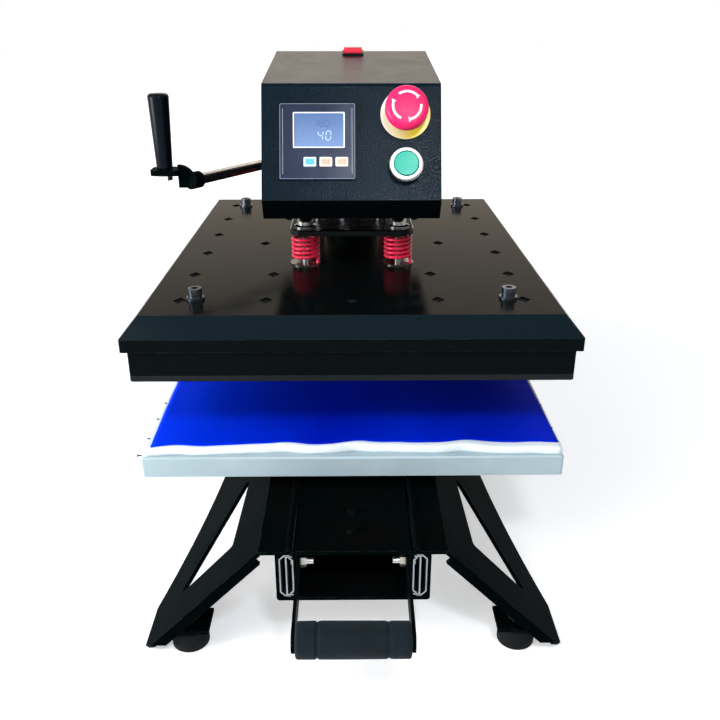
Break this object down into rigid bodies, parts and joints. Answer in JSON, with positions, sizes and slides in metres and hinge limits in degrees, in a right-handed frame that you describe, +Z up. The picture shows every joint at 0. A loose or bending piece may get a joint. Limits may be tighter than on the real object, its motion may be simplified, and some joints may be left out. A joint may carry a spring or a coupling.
{
  "type": "pneumatic swing-away heat press",
  "caption": "Bench heat press: swinging head with an air-driven heated platen over a lower platen that pulls out like a drawer.",
  "frame": {"origin": "on the bench, under the middle of the two platens", "axes": "+X to the operator's right, +Y to the back, +Z up"},
  "size_m": [0.419, 0.771, 0.5019],
  "materials": {
    "black_powder_coat": "gloss black powder coat",
    "black_hammer_coat": "semi-gloss black hammered coat",
    "zinc_steel": "bright zinc plating",
    "chrome": "polished chrome plating",
    "platen_aluminium": "fine machined",
    "cylinder_aluminium": "satin anodised",
    "red_spring_paint": "satin red spring enamel",
    "bronze": "machined",
    "black_rubber": "matte",
    "foam_grip": "fine open texture",
    "white_sponge": "soft silicone sponge",
    "blue_film": "smooth coated release sheet",
    "insulation": "pressed fibre board",
    "black_plastic": "fine texture",
    "controller_plastic": "dark blue-grey",
    "display_window": "pale blue backlit window",
    "yellow_plastic": "gloss",
    "red_plastic": "gloss",
    "green_plastic": "gloss",
    "cream_plastic": "gloss",
    "cyan_key": "satin",
    "peach_key": "satin",
    "orange_key": "satin"
  },
  "bodies": {
    "base": {"base_deck": "black_powder_coat", "left_leg_plate": "black_powder_coat", "right_leg_plate": "black_powder_coat", "rubber_feet": "black_rubber", "foot_studs": "zinc_steel", "outer_slides": "zinc_steel", "drawer_bumpers": "black_rubber", "column": "black_powder_coat", "column_bolts": "zinc_steel"},
    "middle": {"middle_slides": "zinc_steel"},
    "drawer": {"inner_slides": "zinc_steel", "carriage": "black_powder_coat", "carriage_bolts": "zinc_steel", "platen_riser": "black_powder_coat", "lower_platen": "platen_aluminium", "foam_pad": "white_sponge", "blue_sheet": "blue_film", "handle_bar": "black_powder_coat", "handle_grip": "foam_grip", "handle_screws": "zinc_steel"},
    "head": {"swing_hub": "black_powder_coat", "swing_bushes": "bronze", "swing_arm": "black_powder_coat", "head_base_plate": "black_powder_coat", "air_cylinder": "cylinder_aluminium", "guide_bushes": "bronze", "solenoid_valve": "black_plastic", "air_regulator": "cylinder_aluminium", "pressure_gauge": "zinc_steel", "power_inlet": "black_plastic", "fuse_holder": "black_plastic", "head_cover": "black_hammer_coat", "cover_screws": "zinc_steel", "controller_housing": "controller_plastic", "controller_display": "display_window", "estop_base": "yellow_plastic", "start_bezel": "cream_plastic", "rocker_housing": "black_plastic", "swing_handle_rod": "chrome", "swing_handle_bracket": "black_powder_coat", "swing_handle_bolt": "zinc_steel"},
    "heated_platen": {"piston_rod": "chrome", "guide_rods": "chrome", "pressing_plate": "black_powder_coat", "spring_bolts": "chrome", "press_springs": "red_spring_paint", "platen_cover": "black_powder_coat", "platen_screws": "zinc_steel", "platen_skirt": "black_powder_coat", "insulation_board": "insulation", "heater_platen": "platen_aluminium"},
    "estop_plunger": {"estop_stem": "red_plastic"},
    "estop_head": {"estop_mushroom": "red_plastic"},
    "start_cap": {"start_button": "green_plastic"},
    "left_key": {"key_left": "cyan_key"},
    "middle_key": {"key_middle": "peach_key"},
    "right_key": {"key_right": "orange_key"},
    "rocker": {"power_rocker": "red_plastic"},
    "adjusting_knob": {"regulator_knob": "black_plastic"},
    "side_grip": {"swing_grip": "foam_grip"}
  },
  "joints": [
    {"name": "head_swing", "type": "hinge", "parent": "base", "child": "head", "pos_m": [0, 0.295, 0.36], "axis": [0, 0, -1], "range_deg": [0, 80]},
    {"name": "platen_press", "type": "slide", "parent": "head", "child": "heated_platen", "axis": [0, 0, -1], "range_m": [0, 0.068]},
    {"name": "drawer_slide", "type": "slide", "parent": "base", "child": "drawer", "axis": [0, -1, 0], "range_m": [0, 0.3]},
    {"name": "middle_slide", "type": "slide", "parent": "base", "child": "middle", "axis": [0, -1, 0], "range_m": [0, 0.15]},
    {"name": "estop_push", "type": "slide", "parent": "head", "child": "estop_plunger", "axis": [0, 0.9171, -0.3987], "range_m": [0, 0.004]},
    {"name": "estop_twist", "type": "hinge", "parent": "estop_plunger", "child": "estop_head", "pos_m": [0.051, -0.1197, 0.44868], "axis": [0, 0.9171, -0.3987], "range_deg": [0, 35]},
    {"name": "start_push", "type": "slide", "parent": "head", "child": "start_cap", "axis": [0, 0.9171, -0.3987], "range_m": [0, 0.0035], "stiffness_N_per_m": 600, "springref_m": -0.0015},
    {"name": "rocker_tilt", "type": "hinge", "parent": "head", "child": "rocker", "pos_m": [0.002, 0.05771, 0.49758], "axis": [1, 0, 0], "range_deg": [0, 24]},
    {"name": "regulator_turn", "type": "hinge", "parent": "head", "child": "adjusting_knob", "pos_m": [0.06, 0.1, 0.46], "axis": [0, 0, 1], "range_deg": [-180, 180]},
    {"name": "grip_spin", "type": "hinge", "parent": "head", "child": "side_grip", "pos_m": [-0.2, -0.035, 0.42], "axis": [0, 0, 1], "continuous": true},
    {"name": "left_key_push", "type": "slide", "parent": "head", "child": "left_key", "axis": [0, 0.9171, -0.3987], "range_m": [0, 0.0008], "stiffness_N_per_m": 1200, "springref_m": -0.0004},
    {"name": "middle_key_push", "type": "slide", "parent": "head", "child": "middle_key", "axis": [0, 0.9171, -0.3987], "range_m": [0, 0.0008], "stiffness_N_per_m": 1200, "springref_m": -0.0004},
    {"name": "right_key_push", "type": "slide", "parent": "head", "child": "right_key", "axis": [0, 0.9171, -0.3987], "range_m": [0, 0.0008], "stiffness_N_per_m": 1200, "springref_m": -0.0004}
  ],
  "couplings": [
    {"joint": "middle_slide", "follows": "drawer_slide", "ratio": 0.5}
  ]
}
